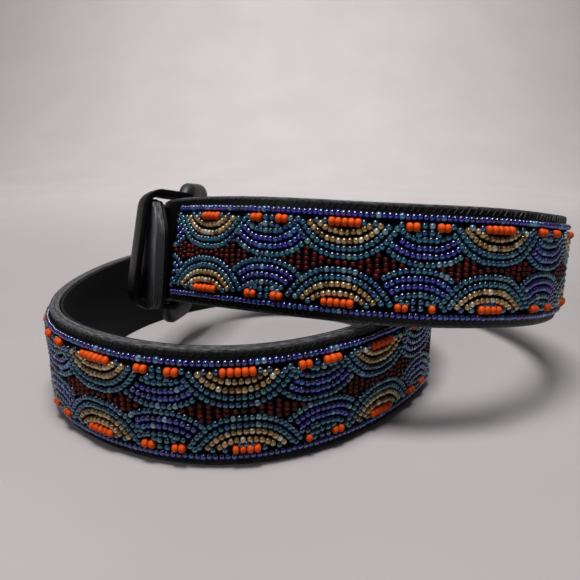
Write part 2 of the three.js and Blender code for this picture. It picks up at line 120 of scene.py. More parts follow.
# The route's control rows: places across and back as shares of the loop's span, lift as a share of the
# strap's width, and degrees that the top edge leans into the loop.
ROUTE = [
    (-0.261, -0.047, 0.785, 8.2), (-0.275, -0.096, 0.815, 8.3), (-0.241, -0.175, 0.910, 8.8),
    (-0.126, -0.294, 1.003, 8.6), (0.041, -0.395, 1.056, 7.9), (0.228, -0.454, 1.040, 6.9),
    (0.395, -0.465, 1.018, 5.5), (0.529, -0.430, 0.970, 4.0), (0.636, -0.358, 0.885, 2.5),
    (0.725, -0.259, 0.803, 1.1), (0.785, -0.137, 0.708, 0.2), (0.788, 0.022, 0.605, 0.0),
    (0.720, 0.213, 0.485, 0.0), (0.578, 0.397, 0.343, 0.0), (0.374, 0.526, 0.198, 0.0),
    (0.136, 0.566, 0.075, 0.0), (-0.098, 0.518, 0.0, 0.0), (-0.296, 0.401, 0.0, 0.0),
    (-0.431, 0.233, 0.0, 0.0), (-0.489, 0.024, 0.0, 0.0), (-0.498, -0.188, 0.0, 0.0),
    (-0.440, -0.363, 0.0, 0.0), (-0.307, -0.484, 0.0, 0.0), (-0.142, -0.561, 0.0, 0.0),
    (0.034, -0.562, 0.0, 0.0), (0.201, -0.480, 0.0, 0.0), (0.344, -0.342, 0.0, 0.0),
    (0.454, -0.176, 0.0, 0.0), (0.495, -0.016, 0.040, 0.0), (0.418, 0.156, 0.110, 1.0),
    (0.269, 0.287, 0.190, 3.0), (0.094, 0.344, 0.280, 5.0), (-0.054, 0.325, 0.370, 7.0),
]


def smoothstep(value, low, high):
    share = np.clip((np.asarray(value, float) - low) / (high - low), 0, 1)
    return share * share * (3 - 2 * share)


def mix(a, b, share):
    return a + (b - a) * share


def unit(rows):
    return rows / np.linalg.norm(rows, axis=-1, keepdims=True)


def smooth_curve(rows, shares):
    """Points of a smooth curve of third degree that starts and ends on its first and last rows."""
    rows = np.asarray(rows, float)
    count, degree = len(rows), 3
    knots = np.clip(np.arange(count + degree + 1) - degree, 0, count - degree) / (count - degree)
    at = np.clip(shares, 0, 1 - 1e-12)
    basis = [((knots[i] <= at) & (at < knots[i + 1])).astype(float) for i in range(count + degree)]
    for order in range(1, degree + 1):
        for i in range(count + degree - order):
            left = knots[i + order] - knots[i]
            right = knots[i + order + 1] - knots[i + 1]
            rising = (at - knots[i]) / left * basis[i] if left else 0
            falling = (knots[i + order + 1] - at) / right * basis[i + 1] if right else 0
            basis[i] = rising + falling
    return sum(basis[i][:, None] * rows[i] for i in range(count))


def leaning_up(level, lean):
    """Up along a strap that runs along level and leans into the loop by an angle."""
    aside = np.cross(level, UPRIGHT)
    return UPRIGHT * np.cos(lean)[..., None] - aside * np.sin(lean)[..., None]


def route_feet(rows):
    table = np.array(rows, float)
    return table[:, :3] * [LOOP_SPAN, LOOP_SPAN, STRAP_WIDTH], np.radians(table[:, 3])


class Buckle:
    """The buckle's own frame: its bar stands parallel to up, and its end bar dips."""
    feet, leans = route_feet(ROUTE)
    foot = feet[0]
    level = unit((feet[1] - feet[0]) * [1, 1, 0])
    lean_up = leaning_up(level, leans[0])
    out = np.cross(level, lean_up)
    along = level * math.cos(FRAME_DIP) + lean_up * math.sin(FRAME_DIP)
    up = lean_up * math.cos(FRAME_DIP) - level * math.sin(FRAME_DIP)

    @classmethod
    def beside(cls, forward, outward, rise=0):
        return cls.foot + cls.along * forward + cls.out * outward + cls.up * rise


class Line:
    """A line of feet along the belt, with the directions out of the loop and up the strap at each."""

    def __init__(self, at, foot, out, up, stretch):
        self.at, self.foot, self.out, self.up, self.stretch = at, foot, out, up, stretch

    def here(self, at):
        def between(rows):
            return np.stack([np.interp(at, self.at, rows[:, i]) for i in range(3)], axis=-1)
        return between(self.foot), unit(between(self.out)), unit(between(self.up)), np.interp(
            at, self.at, self.stretch)

    def place(self, at, outward, height, stretched=True):
        """Points in the world by distance along the line, offset out of the loop and height up the strap."""
        foot, out, up, stretch = self.here(at)
        rise = height * (stretch if stretched else 1)
        return foot + out * np.asarray(outward)[..., None] + up * np.asarray(rise)[..., None]


FINE = 0.5            # step of the tables that places are read from
CURVE_SAMPLES = 6000


def route_line():
    """The strap's frames from the heel bar to the start of the billet."""
    feet, leans = route_feet(ROUTE)
    feet = np.vstack([feet, Buckle.beside(BILLET_START - BILLET_LEAD, BILLET_INSIDE),
                      Buckle.beside(BILLET_START, BILLET_INSIDE)])
    leans = np.append(leans, [leans[0], leans[0]])
    shares = np.linspace(0, 1, CURVE_SAMPLES)
    curve = smooth_curve(feet, shares)
    lean = smooth_curve(leans[:, None], shares)[:, 0]
    steps = np.linalg.norm(np.diff(curve, axis=0), axis=1)
    length = np.append(0, np.cumsum(steps))
    at = np.append(np.arange(0, length[-1], FINE), length[-1])
    foot = np.stack([np.interp(at, length, curve[:, i]) for i in range(3)], axis=-1)
    along = unit(np.gradient(foot, at, axis=0))
    away = np.minimum(at - KEEPER_MOUTH, length[-1] - at)
    beside_bar = 1 - smoothstep(away, 0, TURN_REACH)
    up = leaning_up(unit(along * [1, 1, 0]), np.interp(at, length, lean))
    up = unit(mix(up, Buckle.up, beside_bar[:, None]))
    out = np.cross(along, up)
    stretch = 1 / np.linalg.norm(out, axis=1)
    return Line(at, foot, unit(out), up, stretch)


route = route_line()
ROUTE_LENGTH = route.at[-1]


def billet_feet(forward):
    """The billet's middle line: inside the end bar, through the frame, then outside the strap as far as the
    keeper's mouth, and straight on from there to the tip, which sags and turns a little more upright."""
    beside = np.clip(forward, 0, KEEPER_MOUTH)
    foot, out, up, stretch = route.here(beside)
    before = (forward < 0)[:, None]
    foot = np.where(before, Buckle.foot, foot)
    out = np.where(before, Buckle.out, out)
    up = np.where(before, Buckle.up, up)
    rise = smoothstep(forward, -END_BAR_AFT + FRAME_BAR_THICK, -BAR_DIAMETER / 2)
    bowed = np.clip((forward + PRONG_HOLE_AT) / (KEEPER_MOUTH + PRONG_HOLE_AT), 0, 1)
    offset = mix(BILLET_INSIDE, BILLET_OFFSET, rise) + BILLET_BOW * np.sin(math.pi * bowed) ** 2
    drop = TIP_DROP * smoothstep(forward, TIP_DROP_FROM, TIP_REACH)
    along = np.where(before, Buckle.along, np.cross(up, out))
    foot = foot + along * (forward - beside)[:, None] + out * offset[:, None] - up * drop[:, None]
    turn = TIP_LEAN * smoothstep(forward, 0, TIP_REACH)[:, None]
    up = up * np.cos(turn) + out * np.sin(turn)
    return foot, out, up, np.where(forward < 0, 1, stretch)


def belt_line():
    """The whole belt from the heel bar to the tip. The billet's distances run on from the route's."""
    forward = np.append(np.arange(BILLET_START + FINE, TIP_REACH, FINE), TIP_REACH)
    foot, out, up, stretch = billet_feet(forward)
    at = np.append(route.at, ROUTE_LENGTH + forward - BILLET_START)
    foot = np.vstack([route.foot, foot])
    up = np.vstack([route.up, up])
    stretch = np.append(route.stretch, stretch)
    out = unit(np.cross(np.gradient(foot, at, axis=0), up))
    return Line(at, foot, out, up, stretch)


belt = belt_line()
BELT_LENGTH = belt.at[-1]
PANEL_END = ROUTE_LENGTH - (PLAIN_LENGTH - TIP_REACH + BILLET_START)


def grain_line():
    """The strap's grain face from the end of the folded tab, round the heel bar and on to the tip."""
    tab = np.arange(TAB_LENGTH, 0, -FINE)
    foot, out, up, stretch = route.here(tab)
    middle = mix(BAR_OFFSET - FOLD_RADIUS, TAB_SEAT, smoothstep(tab, 0, TAPER_TO))
    tab_grain = foot + out * (middle - FOLD_THICK / 2)[:, None]
    arc = FOLD_RADIUS * math.pi
    turn = np.arange(0, math.pi, math.pi / 24)
    around = -np.sin(turn)[:, None] * Buckle.along - np.cos(turn)[:, None] * Buckle.out
    bend = Buckle.beside(0, BAR_OFFSET) + around * (FOLD_RADIUS + FOLD_THICK / 2)
    return Line(
        np.concatenate([-arc - tab, -arc + FOLD_RADIUS * turn, belt.at]),
        np.vstack([tab_grain, bend, belt.foot + belt.out * OUTER_FACE]),
        np.vstack([-out, around, belt.out]),
        np.vstack([up, np.tile(Buckle.up, (len(turn), 1)), belt.up]),
        np.concatenate([stretch, np.ones(len(turn)), belt.stretch]))


grain = grain_line()
STRAP_START = grain.at[0]

# The route is drawn round the lower turn's middle; the frame's origin is under the middle of the whole belt.
panel_low, panel_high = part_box("bead_panel")
panel_at = np.arange(PANEL_START, PANEL_END, FINE)
panel_face = belt.place(panel_at, np.full(len(panel_at), OUTER_FACE + PIECE_GAP + PANEL_THICK), np.full(
    len(panel_at), STRAP_WIDTH / 2))
face_middle = (panel_face.min(axis=0) + panel_face.max(axis=0)) / 2
SHIFT = np.array([
    (panel_low[0] + panel_high[0]) / 2 / MM - face_middle[0],
    (panel_low[1] + panel_high[1]) / 2 / MM - face_middle[1], 0])


def world(points):
    """Route millimetres to metres in the frame."""
    return (points + SHIFT) * MM


# Materials

def linear(code):
    """A hex sRGB colour as linear red, green, blue and alpha."""
    parts = [int(code[i:i + 2], 16) / 255 for i in (1, 3, 5)]
    return [c / 12.92 if c <= 0.04045 else ((c + 0.055) / 1.055) ** 2.4 for c in parts] + [1]


def per_metre(millimetres):
    """Texture scale for a pattern whose grains are so many millimetres across."""
    return 1 / (millimetres * MM)


class Finish:
    """A material while it is made: its shader, the piece's own coordinates, and what adds nodes to it."""

    def __init__(self, name):
        self.material = bpy.data.materials.new(name)
        self.material.use_nodes = True
        self.tree = self.material.node_tree
        self.shader = self.tree.nodes["Principled BSDF"]
        self.place = self.add("ShaderNodeTexCoord", {}).outputs["Object"]

    def add(self, kind, links, **settings):
        """Adds a node with its links and its settings."""
        node = self.tree.nodes.new(kind)
        for key, value in settings.items():
            if key in node.inputs:
                node.inputs[key].default_value = value
            else:
                setattr(node, key, value)
        for key, source in links.items():
            self.tree.links.new(source, node.inputs[key])
        return node

    def feed(self, socket, source):
        self.tree.links.new(source, self.shader.inputs[socket])

    def hold(self, socket, value):
        self.shader.inputs[socket].default_value = value

    def attribute(self, name, output="Fac"):
        return self.add("ShaderNodeAttribute", {}, attribute_name=name).outputs[output]

    def stretched(self, name, scale):
        """A vector attribute, scaled along each of its axes."""
        source = self.attribute(name, "Vector")
        return self.add("ShaderNodeMapping", {"Vector": source}, Scale=scale).outputs["Vector"]

    def noise(self, across, detail, at=None):
        links = {"Vector": self.place if at is None else at}
        return self.add("ShaderNodeTexNoise", links, Scale=per_metre(across), Detail=detail).outputs["Fac"]

    def maths(self, operation, a, b):
        return self.add("ShaderNodeMath", {0: a, 1: b}, operation=operation).outputs["Value"]

    def spread(self, source, low, high, start=0, end=1):
        """Maps a value that runs from start to end to one that runs from low to high."""
        node = self.add("ShaderNodeMapRange", {"Value": source}, **{
            "From Min": start, "From Max": end, "To Min": low, "To Max": high})
        return node.outputs["Result"]

    def tones(self, source, stops):
        """Colours along a value, each stop a place and a hex colour."""
        node = self.add("ShaderNodeValToRGB", {"Fac": source})
        elements = node.color_ramp.elements
        for place, code in stops[1:-1]:
            elements.new(place).color = linear(code)
        for element, (place, code) in ((elements[0], stops[0]), (elements[-1], stops[-1])):
            element.position = place
            element.color = linear(code)
        return node.outputs["Color"]

    def blend(self, share, a, b):
        return self.add("ShaderNodeMix", {0: share, 6: a, 7: b}, data_type="RGBA").outputs[2]

    def bump(self, height, strength, depth):
        node = self.add("ShaderNodeBump", {"Height": height}, Strength=strength, Distance=depth * MM)
        self.feed("Normal", node.outputs["Normal"])


RIM_WIDTH = 0.6       # how far in from its cut edges the leather is greyer: its fibrous core, with a painted highlight
RIM_FADE = 1.3


def bridle_leather():
    """Vegetable-tanned, dyed and waxed: fine pebbled grain, greyer along its cut edges from the fibrous core
    and a painted highlight, and a painted grey sheen on the tip."""
    hide = Finish("bridle_leather_black")
    margins = hide.add("ShaderNodeSeparateXYZ", {"Vector": hide.attribute("margins", "Vector")}).outputs
    nearest = hide.maths("MINIMUM", hide.maths("MINIMUM", margins["X"], margins["Y"]), margins["Z"])
    rim = hide.spread(nearest, 1, 0, RIM_WIDTH * MM, RIM_FADE * MM)
    pebble = hide.add("ShaderNodeTexVoronoi", {"Vector": hide.place}, Scale=per_metre(0.55))
    cloud = hide.noise(7, 5)
    fibre = hide.noise(0.35, 4, hide.stretched("along", (0.16, 1, 1)))
    dyed = hide.tones(cloud, [(0.3, "#020203"), (0.55, "#040405"), (0.75, "#08080a")])
    # Painted sheen: the grey that the tip's grain takes on toward its end.
    painted_tip_sheen = hide.tones(cloud, [(0.3, "#606063"), (0.7, "#7c7c80")])
    # The cut edges' greys: the leather's fibrous core, lightened further as a painted highlight.
    edge_core_and_highlight = hide.tones(fibre, [(0.3, "#1c1c1e"), (0.5, "#3c3c3f"), (0.72, "#6c6c70")])
    grain_colour = hide.blend(hide.attribute("painted_tip_sheen"), dyed, painted_tip_sheen)
    hide.feed("Base Color", hide.blend(rim, grain_colour, edge_core_and_highlight))
    hide.feed("Roughness", hide.spread(cloud, 0.34, 0.5))
    hide.hold("Specular IOR Level", 0.22)
    hide.bump(hide.maths("ADD", pebble.outputs["Distance"], fibre), 0.5, 0.12)
    return hide.material


def lining_leather():
    """Thin smooth lining skin, matt from rubbing, with faint creases across the belt."""
    skin = Finish("lining_skin_black")
    cloud = skin.noise(14, 6)
    skin.feed("Base Color", skin.tones(cloud, [(0.3, "#020203"), (0.55, "#040405"), (0.8, "#09090b")]))
    skin.feed("Roughness", skin.spread(cloud, 0.55, 0.75))
    skin.hold("Specular IOR Level", 0.18)
    skin.bump(skin.noise(1.6, 3, skin.stretched("along", (1, 0.08, 1))), 0.25, 0.2)
    return skin.material


def waxed_thread():
    """Waxed black linen thread, twisted, with a dull shine."""
    linen = Finish("waxed_linen_thread_black")
    twist = linen.noise(0.3, 2)
    linen.feed("Base Color", linen.tones(twist, [(0.3, "#050506"), (0.55, "#0a0a0b"), (0.8, "#151517")]))
    linen.hold("Roughness", 0.45)
    linen.bump(twist, 0.5, 0.08)
    return linen.material


def wool_felt():
    """Black felt under the beads: matt and slightly fuzzy."""
    felt = Finish("wool_felt_black")
    fuzz = felt.noise(0.5, 4)
    felt.feed("Base Color", felt.tones(fuzz, [(0.3, "#020203"), (0.6, "#050507"), (0.85, "#0b0b0e")]))
    felt.hold("Roughness", 0.95)
    felt.hold("Specular IOR Level", 0.1)
    felt.bump(fuzz, 0.6, 0.15)
    return felt.material


def glass_beads(name, tones, painted_foot_tones, roughness, metallic, coat, coat_ior):
    """Seed bead glass. tones run over the beads by each bead's own tint; painted_foot_tones are the same,
    blended in at each bead's lower rim as a painted reflection of the floor."""
    glass = Finish(name)
    swirl = glass.spread(glass.noise(1.4, 2), -0.25, 0.25)
    tint = glass.maths("ADD", glass.attribute("tint"), swirl)
    steps = [i / (len(tones) - 1) for i in range(len(tones))]
    body = glass.tones(tint, list(zip(steps, tones)))
    foot = glass.tones(tint, list(zip(steps, painted_foot_tones)))
    # Painted light: the 'depth' attribute paints the foot tones on each bead's lower rim, lighter as a
    # painted floor reflection, darker on the orange as painted shade.
    glass.feed("Base Color", glass.blend(glass.attribute("depth"), body, foot))
    glass.hold("Roughness", roughness)
    glass.hold("Metallic", metallic)
    glass.hold("Specular IOR Level", 0.2)
    glass.hold("Coat Weight", coat)
    glass.hold("Coat Roughness", 0.06)
    glass.hold("Coat IOR", coat_ior)
    return glass.material


def lacquered_zinc():
    """Die-cast zinc under matt black lacquer: faint orange peel, worn greyer in patches."""
    zinc = Finish("zinc_black_lacquer")
    wear = zinc.noise(6, 5)
    zinc.feed("Base Color", zinc.tones(wear, [(0.35, "#222224"), (0.6, "#2b2b2e"), (0.8, "#3a3a3d")]))
    zinc.feed("Roughness", zinc.spread(wear, 0.4, 0.58))
    zinc.hold("Metallic", 0.35)
    zinc.bump(zinc.noise(0.9, 3), 0.15, 0.1)
    return zinc.material


def paper():
    """Matt seamless paper, pale grey with a trace of pink."""
    sheet = Finish("seamless_paper_pale")
    sheet.feed("Base Color", sheet.tones(sheet.noise(120, 3), [(0.35, "#a09a9a"), (0.7, "#a49e9e")]))
    sheet.hold("Roughness", 0.95)
    return sheet.material


# Modelling helpers

def begin():
    """Deselects everything, so that an operator acts on the new piece only."""
    if bpy.context.object and bpy.context.object.mode != "OBJECT":
        bpy.ops.object.mode_set(mode="OBJECT")
    bpy.ops.object.select_all(action="DESELECT")


def choose(piece):
    """Selects one piece alone and makes it active."""
    begin()
    piece.select_set(True)
    bpy.context.view_layer.objects.active = piece


def start(add, **settings):
    """A new piece by one of Blender's operators, with its turn taken up into its points."""
    begin()
    add(**settings)
    bpy.ops.object.transform_apply(location=False, rotation=True, scale=False)
    return bpy.context.object


def box(name, low, high):
    """A box between two corners, as the start of a piece."""
    low, high = Vector(low), Vector(high)
    piece = start(bpy.ops.mesh.primitive_cube_add, size=1, location=(low + high) / 2)
    piece.name = name
    piece.scale = high - low
    bpy.ops.object.transform_apply(location=True, rotation=True, scale=True)
    return piece


def edit(piece, kind, chosen):
    """Opens a piece with its vertices, edges or faces chosen by their middle (and normal)."""
    choose(piece)
    bpy.ops.object.mode_set(mode="EDIT")
    bpy.ops.mesh.select_mode(type=kind)
    bpy.ops.mesh.select_all(action="DESELECT")
    bpy.ops.object.mode_set(mode="OBJECT")
    mesh = piece.data
    if kind == "VERT":
        for vertex in mesh.vertices:
            vertex.select = bool(chosen(vertex.co))
    elif kind == "EDGE":
        for edge in mesh.edges:
            a, b = (mesh.vertices[i].co for i in edge.vertices)
            edge.select = bool(chosen((a + b) / 2, b - a))
    else:
        for face in mesh.polygons:
            face.select = bool(chosen(face.center, face.normal))
    bpy.ops.object.mode_set(mode="EDIT")


def done():
    bpy.ops.object.mode_set(mode="OBJECT")


def cut(piece, place, normal):
    """Cuts a whole piece's faces along a plane and keeps both sides."""
    edit(piece, "FACE", lambda centre, direction: True)
    bpy.ops.mesh.bisect(plane_co=place, plane_no=normal)
    done()


def modify(piece, kind, **settings):
    """Adds a modifier and applies it."""
    choose(piece)
    modifier = piece.modifiers.new(kind.title(), kind)
    for key, value in settings.items():
        setattr(modifier, key, value)
    bpy.ops.object.modifier_apply(modifier=modifier.name)


def points_of(piece):
    places = np.empty(len(piece.data.vertices) * 3)
    piece.data.vertices.foreach_get("co", places)
    return places.reshape(-1, 3)


def set_points(piece, places):
    piece.data.vertices.foreach_set("co", np.asarray(places, float).ravel())
    piece.data.update()


def write_attribute(piece, name, values):
    """Values per vertex, one number or three each."""
    values = np.asarray(values, float)
    kind, field = ("FLOAT", "value") if values.ndim == 1 else ("FLOAT_VECTOR", "vector")
    piece.data.attributes.new(name, kind, "POINT").data.foreach_set(field, values.ravel())


def small_form(form):
    """Takes a small form apart into its points and triangles, to be copied many times."""
    edit(form, "FACE", lambda centre, normal: True)
    bpy.ops.mesh.quads_convert_to_tris(quad_method="BEAUTY", ngon_method="BEAUTY")
    done()
    places = points_of(form)
    faces = np.empty(len(form.data.polygons) * 3, int)
    form.data.polygons.foreach_get("vertices", faces)
    bpy.data.objects.remove(form)
    return places, faces.reshape(-1, 3)


def near(a, b, within=1e-3):
    return abs(a - b) < within


def face_outward(piece):
    edit(piece, "FACE", lambda centre, normal: True)
    bpy.ops.mesh.normals_make_consistent(inside=False)
    done()


def finish(piece, material, nodes=(), sharp=30):
    """Smooths a piece, gives it its finish and hands it to the frame."""
    choose(piece)
    bpy.ops.object.shade_smooth_by_angle(angle=math.radians(sharp))
    piece.data.materials.clear()
    piece.data.materials.append(material)
    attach(piece, "root")
    if nodes:
        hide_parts(*nodes)
    return piece


def stations(start, end, step, tip_steps=()):
    """Distances from start to end, even in step, and then those of the round tip."""
    count = round((end - start) / step)
    return np.append(np.linspace(start, end, count + 1), tip_steps)


def band(name, places, thick, low, high, corner, grooves=()):
    """A flat layer of leather, one unit along x for each station, thick along y and its width along z. Its
    long edges are rounded, and a groove runs along both narrow faces at each offset in grooves."""
    slice_ = box(name, (0, 0, low), (1, thick, high))
    edit(slice_, "EDGE", lambda middle, run: abs(run.x) > 0.5)
    bpy.ops.mesh.bevel(offset=corner, segments=3, profile=0.5)
    done()
    for middle, half, deep in grooves:
        for inside in (middle - half, middle, middle + half):
            cut(slice_, (0, inside, 0), (0, 1, 0))
        for side, inward in ((low, deep), (high, -deep)):
            edit(slice_, "VERT", lambda co: near(co.y, middle) and near(co.z, side))
            bpy.ops.transform.translate(value=(0, 0, inward))
            done()
    edit(slice_, "FACE", lambda centre, normal: abs(normal.x) > 0.9)
    bpy.ops.mesh.delete(type="ONLY_FACE")
    done()
    modify(slice_, "ARRAY", count=len(places) - 1, relative_offset_displace=(1, 0, 0),
           use_merge_vertices=True, merge_threshold=1e-4)
    last = len(places) - 1
    for end in (0, last):
        edit(slice_, "EDGE", lambda middle, run: near(middle.x, end) and near(run.x, 0))
        bpy.ops.mesh.edge_face_add()
        done()
    return slice_


def tip_inset(at):
    """How far the billet's rounded corners draw its edges in."""
    left = np.maximum(0, TIP_CORNER - (BELT_LENGTH - at))
    return TIP_CORNER - np.sqrt(np.maximum(0, TIP_CORNER ** 2 - left ** 2))


def tip_places(count=7):
    angles = np.arange(1, count + 1) / count * math.pi / 2
    return BELT_LENGTH - TIP_CORNER + TIP_CORNER * np.sin(angles)


PAINTED_SHEEN_LENGTH = 11           # a painted sheen greys the tip's grain from the keeper on, black there as painted shade and lighter in its upper half
PAINTED_SHEEN_HEIGHTS = (6, 28)


def lay_band(piece, places, line, outward):
    """Bends a flat layer along a line. outward gives a point's offset from its distance and thickness."""
    flat = points_of(piece)
    at = np.interp(flat[:, 0], np.arange(len(places)), places)
    inset = tip_inset(at)
    height = inset + flat[:, 2] * (STRAP_WIDTH - 2 * inset) / STRAP_WIDTH
    write_attribute(piece, "along", np.stack([at, flat[:, 2], flat[:, 1]], axis=1) * MM)
    margins = np.stack([flat[:, 2], STRAP_WIDTH - flat[:, 2], BELT_LENGTH - at], axis=1)
    write_attribute(piece, "margins", margins * MM)
    # Painted sheen share on the tip: none at the keeper, full at the end, weaker low on the strap as painted
    # shade.
    near_tip = smoothstep(at, BELT_LENGTH - PAINTED_SHEEN_LENGTH, BELT_LENGTH)
    write_attribute(piece, "painted_tip_sheen", near_tip * mix(0.2, 1, smoothstep(flat[:, 2], *PAINTED_SHEEN_HEIGHTS)))
    set_points(piece, world(line.place(at, outward(at, flat[:, 1]), height)))
    face_outward(piece)


def punch(piece, places):
    """Cuts the prong's hole and the spare holes through a flat layer of the billet."""
    first = ROUTE_LENGTH - BILLET_START - PRONG_HOLE_AT
    for i in range(SPARE_HOLES + 1):
        station = np.interp(first - i * HOLE_PITCH, places, np.arange(len(places)))
        punch_tool = start(
            bpy.ops.mesh.primitive_cylinder_add, vertices=24, radius=HOLE_DIAMETER / 2, depth=14,
            location=(station, 0, STRAP_WIDTH / 2), rotation=(math.pi / 2, 0, 0))
        punch_tool.scale = (1 / (places[1] - places[0]), 1, 1)
        bpy.ops.object.transform_apply(location=True, rotation=True, scale=True)
        modify(piece, "BOOLEAN", operation="DIFFERENCE", object=punch_tool, solver="EXACT")
        bpy.data.objects.remove(punch_tool)


# Pieces of leather

STATION = 3
EDGE_ROUNDING = 0.55

# The fine groove where the leather's outer layer meets its core: from the grain face, half width and depth
CORE_GROOVE = (1.75, 0.22, 0.28)


def make_strap(leather):
    places = stations(STRAP_START, BELT_LENGTH - TIP_CORNER, STATION, tip_places())
    strap = band("strap_leather", places, LEATHER_THICK, 0, STRAP_WIDTH, EDGE_ROUNDING, [CORE_GROOVE])

    def outward(at, inside):
        pared = mix(FOLD_THICK, LEATHER_THICK, smoothstep(at, TAPER_FROM, TAPER_TO))
        return -inside * pared / LEATHER_THICK

    punch(strap, places)
    lay_band(strap, places, grain, outward)
    return finish(strap, leather, ["strap"])


def make_lining(skin):
    places = stations(LINING_START, BELT_LENGTH - TIP_CORNER, STATION, tip_places())
    lining = band("lining_skin", places, LINING_THICK, LINING_INSET, STRAP_WIDTH - LINING_INSET, 0.3)
    punch(lining, places)
    lay_band(lining, places, belt, lambda at, inside: inside - OUTER_FACE)
    return finish(lining, skin, ["lining"])


BASE_THICK = 0.75
BASE_MARGIN = PANEL_MARGIN + 0.15


def make_bead_ground(felt):
    places = stations(PANEL_START, PANEL_END, STATION)
    ground = band("bead_ground", places, BASE_THICK, BASE_MARGIN, STRAP_WIDTH - BASE_MARGIN, 0.2)
    lay_band(ground, places, belt, lambda at, inside: OUTER_FACE + inside)
    return finish(ground, felt, ["bead_panel"])


def make_keeper(leather):
    """A soft leather loop round tab, strap and billet, fuller at its foot. Its edges are dyed black."""
    left = TAB_SEAT - FOLD_THICK / 2 - PIECE_GAP - KEEPER_WALL
    right = BILLET_OFFSET + STRAP_THICK / 2 + KEEPER_SLACK + KEEPER_WALL
    low = -KEEPER_FOOTROOM - KEEPER_WALL
    high = STRAP_WIDTH + KEEPER_HEADROOM + KEEPER_WALL
    back = KEEPER_MOUTH - KEEPER_LENGTH
    keeper = box("keeper_loop", (back, left, low), (KEEPER_MOUTH, right, high))
    edit(keeper, "VERT", lambda co: co.y > 0 and co.z < 0)
    bpy.ops.transform.translate(value=(0, KEEPER_SAG, 0))
    done()
    edit(keeper, "FACE", lambda centre, normal: abs(normal.x) > 0.9)
    bpy.ops.mesh.delete(type="ONLY_FACE")
    done()
    corners = ((1, high, KEEPER_TOP_CORNER), (1, low, KEEPER_FOOT_CORNER),
               (-1, high, KEEPER_INNER_CORNER), (-1, low, KEEPER_INNER_CORNER))
    for side, level, radius in corners:
        edit(keeper, "EDGE", lambda middle, run: abs(run.x) > 5 and middle.y * side > 0
             and near(middle.z, level, 0.01))
        bpy.ops.mesh.bevel(offset=radius, segments=10, profile=0.5)
        done()
    for forward in np.arange(back + 1, KEEPER_MOUTH, 1):
        cut(keeper, (forward, 0, 0), (1, 0, 0))
    modify(keeper, "SOLIDIFY", thickness=KEEPER_WALL, offset=-1, use_even_offset=True)
    modify(keeper, "BEVEL", width=EDGE_ROUNDING, segments=3, limit_method="ANGLE",
           angle_limit=math.radians(50))
    flat = points_of(keeper)
    write_attribute(keeper, "along", flat * MM)
    write_attribute(keeper, "margins", np.full((len(flat), 3), RIM_FADE) * MM)
    set_points(keeper, world(route.place(flat[:, 0], flat[:, 1], flat[:, 2], stretched=False)))
    face_outward(keeper)
    return finish(keeper, leather, ["keeper"])


# Buckle

def buckle_place(flat):
    """From the buckle's own frame, x behind the bar, y out and z up from the bar's middle, to the world."""
    middle = Buckle.beside(0, BAR_OFFSET, STRAP_WIDTH / 2)
    axes = np.stack([-Buckle.along, Buckle.out, Buckle.up])
    return world(middle + flat @ axes)


def rounded_outline(left, right, low, high, radius, steps):
    """Points round a rectangle with round corners, in order, with two on each straight side."""
    points = []
    for x, z, first in ((right, low, -90), (right, high, 0), (left, high, 90), (left, low, 180)):
        middle = np.array([x - math.copysign(radius, x - (left + right) / 2),
                           z - math.copysign(radius, z - (low + high) / 2)])
        for angle in np.radians(np.linspace(first, first + 90, steps)):
            points.append(middle + radius * np.array([math.cos(angle), math.sin(angle)]))
    outline = np.array(points)
    after = np.roll(outline, -1, axis=0)
    longer = np.linalg.norm(after - outline, axis=1) > radius
    rows = []
    for point, following, straight in zip(outline, after, longer):
        rows.append(point)
        if straight:
            rows.extend([mix(point, following, 1 / 3), mix(point, following, 2 / 3)])
    return np.array(rows)


FRAME_SECTION_SIDES = 24
FRAME_SOFTNESS = 0.8             # 1 gives an oval section, less a squarer one
EYE_WALL = 1.4                   # the prong's eye round the heel bar
EYE_LENGTH = 4


def make_buckle(metal):
    """A cast oblong ring, pillowed in section and slimmer along the heel bar."""
    half = (FRAME_OPENING + FRAME_BAR_WIDTH) / 2
    outline = rounded_outline(0, FRAME_LENGTH, -half, half, FRAME_CORNER, 9)
    ahead = unit(np.roll(outline, -1, axis=0) - np.roll(outline, 1, axis=0))
    aside = np.stack([ahead[:, 1], -ahead[:, 0]], axis=1)
    heel = smoothstep(FRAME_CORNER - outline[:, 0], 0, FRAME_CORNER)
    wide = mix(FRAME_BAR_WIDTH, BAR_DIAMETER, heel) / 2
    thick = mix(FRAME_BAR_THICK, BAR_DIAMETER, heel) / 2
    buckle = start(bpy.ops.mesh.primitive_torus_add, major_radius=1, minor_radius=0.25,
                   major_segments=len(outline), minor_segments=FRAME_SECTION_SIDES)
    buckle.name = "buckle_frame_black"
    plain = points_of(buckle)
    share = np.arctan2(plain[:, 1], plain[:, 0]) / (2 * math.pi)
    i = np.rint(share * len(outline)).astype(int) % len(outline)
    section = unit(np.stack([np.hypot(plain[:, 0], plain[:, 1]) - 1, plain[:, 2]], axis=1))
    section = np.sign(section) * np.abs(section) ** FRAME_SOFTNESS
    flat = np.zeros((len(plain), 3))
    flat[:, [0, 2]] = outline[i] + aside[i] * (section[:, 0] * wide[i])[:, None]
    flat[:, 1] = section[:, 1] * thick[i]
    turn = np.array([[math.cos(FRAME_TILT), math.sin(FRAME_TILT), 0],
                     [-math.sin(FRAME_TILT), math.cos(FRAME_TILT), 0], [0, 0, 1]])
    set_points(buckle, buckle_place(flat @ turn - [0, 0, FRAME_DROP]))
    face_outward(buckle)
    return finish(buckle, metal, ["buckle_frame"])


